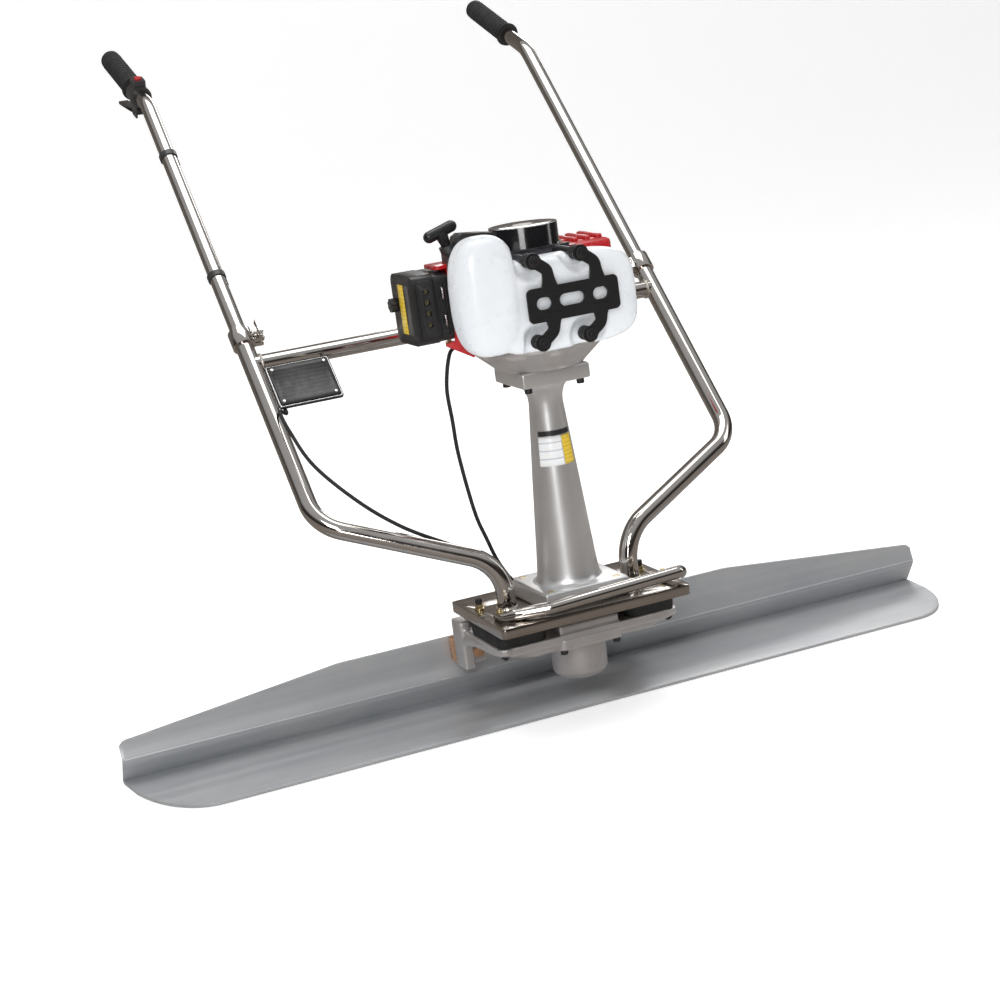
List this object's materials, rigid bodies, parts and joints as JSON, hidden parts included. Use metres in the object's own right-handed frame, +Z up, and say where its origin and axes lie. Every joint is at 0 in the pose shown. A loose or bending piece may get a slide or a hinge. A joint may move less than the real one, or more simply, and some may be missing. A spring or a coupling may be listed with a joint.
{
  "type": "vibrating power screed",
  "caption": "Petrol-engined vibrating screed: long aluminium blade, eccentric vibrator, rubber-mounted column, small engine and telescoping tube handle.",
  "frame": {"origin": "crank and column axis where it meets the underside of the blade's sole", "axes": "+X along the blade, +Y towards the operator who walks behind the handle, +Z up the column"},
  "size_m": [1.2, 0.975, 0.9246],
  "materials": {
    "alu_sheet": "mill finish, drawn lines",
    "cast_alu": "sand cast",
    "painted_silver": "silver paint on casting",
    "chrome_tube": "bright chrome",
    "stainless": "polished sheet",
    "yellow_zinc": "yellow zinc plated",
    "copper_zinc": "copper coloured plating",
    "dark_steel": "black oxide",
    "machined_steel": "machined",
    "rubber_black": "matt",
    "spider_red": "matt",
    "plastic_black": "fine grain",
    "plastic_gloss_black": "gloss",
    "plastic_red": "gloss",
    "plastic_white": "translucent, blow moulded",
    "ceramic": "glazed, black boot",
    "foam": "open foam",
    "cast_iron": "sheet steel, heat tinted",
    "plate_black": "black print on aluminium"
  },
  "bodies": {
    "screed": {"screed_blade": "alu_sheet", "spacer_blocks": "copper_zinc", "vibrator_frame": "cast_alu", "bearing_housing": "cast_alu", "lower_screws": "dark_steel", "bearing_cover": "cast_alu", "eccentric_bearings": "machined_steel", "rubber_pads": "rubber_black", "blade_bolts": "copper_zinc"},
    "machine": {"shaft_bearings": "machined_steel", "base_plate": "stainless", "plate_fasteners": "yellow_zinc", "rubber_bushes": "rubber_black", "front_bar": "chrome_tube", "column": "painted_silver", "engine_screws": "dark_steel", "clutch_housing": "cast_alu", "crankcase": "cast_alu", "connecting_rod": "cast_alu", "piston": "cast_alu", "cylinder_barrel": "cast_alu", "spark_plug": "ceramic", "ignition_coil": "dark_steel", "engine_shroud": "plastic_red", "carburettor": "cast_alu", "air_cleaner_base": "plastic_black", "air_filter": "foam", "muffler": "cast_iron", "muffler_cover": "plastic_red", "starter_housing": "plastic_gloss_black", "rope_guide": "plastic_black", "fuel_tank": "plastic_white", "tank_stand": "dark_steel", "tank_bracket": "dark_steel", "handle_frame": "chrome_tube", "handle_collars": "chrome_tube", "throttle_cable": "rubber_black", "name_plate": "plate_black"},
    "eccentric": {"eccentric_shaft": "machined_steel", "coupling_spider": "spider_red"},
    "drive_line": {"drive_shaft": "machined_steel", "clutch_drum": "machined_steel"},
    "crank": {"crankshaft": "machined_steel", "flywheel": "cast_alu", "clutch_shoes": "machined_steel"},
    "rope_drum": {"starter_pulley": "plastic_black"},
    "pull_grip": {"starter_grip": "plastic_black", "starter_rope": "plastic_black"},
    "carb_arm": {"throttle_arm": "yellow_zinc"},
    "choke": {"choke_lever": "plastic_black"},
    "primer": {"primer_bulb": "rubber_black"},
    "tank_cap": {"fuel_cap": "plastic_black"},
    "cleaner_cover": {"air_cleaner_cover": "plastic_black"},
    "cleaner_knob": {"air_cleaner_knob": "plastic_black"},
    "handle_bars": {"upper_handles": "chrome_tube", "hand_grips": "rubber_black", "throttle_mount": "plastic_black"},
    "lever": {"throttle_lever": "plastic_black"},
    "stop": {"stop_button": "plastic_red"}
  },
  "joints": [
    {"name": "isolator_travel", "type": "slide", "parent": "screed", "child": "machine", "axis": [0, 0, 1], "range_m": [-0.002, 0.002], "deforming": ["rubber_pads"]},
    {"name": "crank_spin", "type": "hinge", "parent": "machine", "child": "crank", "pos_m": [0, 0, 0.525], "axis": [0, 0, 1], "continuous": true},
    {"name": "drive_spin", "type": "hinge", "parent": "machine", "child": "drive_line", "pos_m": [0, 0, 0.3], "axis": [0, 0, 1], "continuous": true},
    {"name": "eccentric_spin", "type": "hinge", "parent": "screed", "child": "eccentric", "pos_m": [0, 0, 0.094], "axis": [0, 0, 1], "continuous": true},
    {"name": "starter_pull", "type": "slide", "parent": "machine", "child": "pull_grip", "axis": [-0.2924, 0, 0.9563], "range_m": [0, 0.6], "deforming": ["starter_rope"]},
    {"name": "rope_drum_turn", "type": "hinge", "parent": "machine", "child": "rope_drum", "pos_m": [0, 0, 0.622], "axis": [0, 0, 1], "range_deg": [-10, 1300]},
    {"name": "throttle_lever_turn", "type": "hinge", "parent": "handle_bars", "child": "lever", "pos_m": [-0.305, 0.68627, 0.8322], "axis": [1, 0, 0], "range_deg": [0, 13]},
    {"name": "throttle_arm_turn", "type": "hinge", "parent": "machine", "child": "carb_arm", "pos_m": [-0.098, 0.06, 0.505], "axis": [0, 0, 1], "range_deg": [0, 50]},
    {"name": "choke_turn", "type": "hinge", "parent": "machine", "child": "choke", "pos_m": [-0.092, 0.066, 0.553], "axis": [0, 0, 1], "range_deg": [-80, 0]},
    {"name": "primer_press", "type": "slide", "parent": "machine", "child": "primer", "axis": [0, -1, 0], "range_m": [0, 0.004]},
    {"name": "fuel_cap_turn", "type": "hinge", "parent": "machine", "child": "tank_cap", "pos_m": [-0.104, -0.074, 0.6], "axis": [0, 0.9659, 0.2588], "continuous": true},
    {"name": "cleaner_cover_off", "type": "slide", "parent": "machine", "child": "cleaner_cover", "axis": [-1, 0, 0], "range_m": [0, 0.08]},
    {"name": "cleaner_knob_turn", "type": "hinge", "parent": "cleaner_cover", "child": "cleaner_knob", "pos_m": [-0.166, 0.049, 0.564], "axis": [1, 0, 0], "continuous": true},
    {"name": "handle_height", "type": "slide", "parent": "machine", "child": "handle_bars", "axis": [0, 0.7071, 0.7071], "range_m": [-0.06, 0.1], "deforming": ["throttle_cable"]},
    {"name": "stop_press", "type": "slide", "parent": "handle_bars", "child": "stop", "axis": [0, 0.3412, -0.94], "range_m": [0, 0.002]}
  ],
  "couplings": [
    {"joint": "drive_spin", "follows": "crank_spin", "ratio": 1},
    {"joint": "eccentric_spin", "follows": "crank_spin", "ratio": 1},
    {"joint": "rope_drum_turn", "follows": "starter_pull", "rad_per_m": 35.461},
    {"joint": "throttle_arm_turn", "follows": "throttle_lever_turn", "ratio": 3.5}
  ]
}
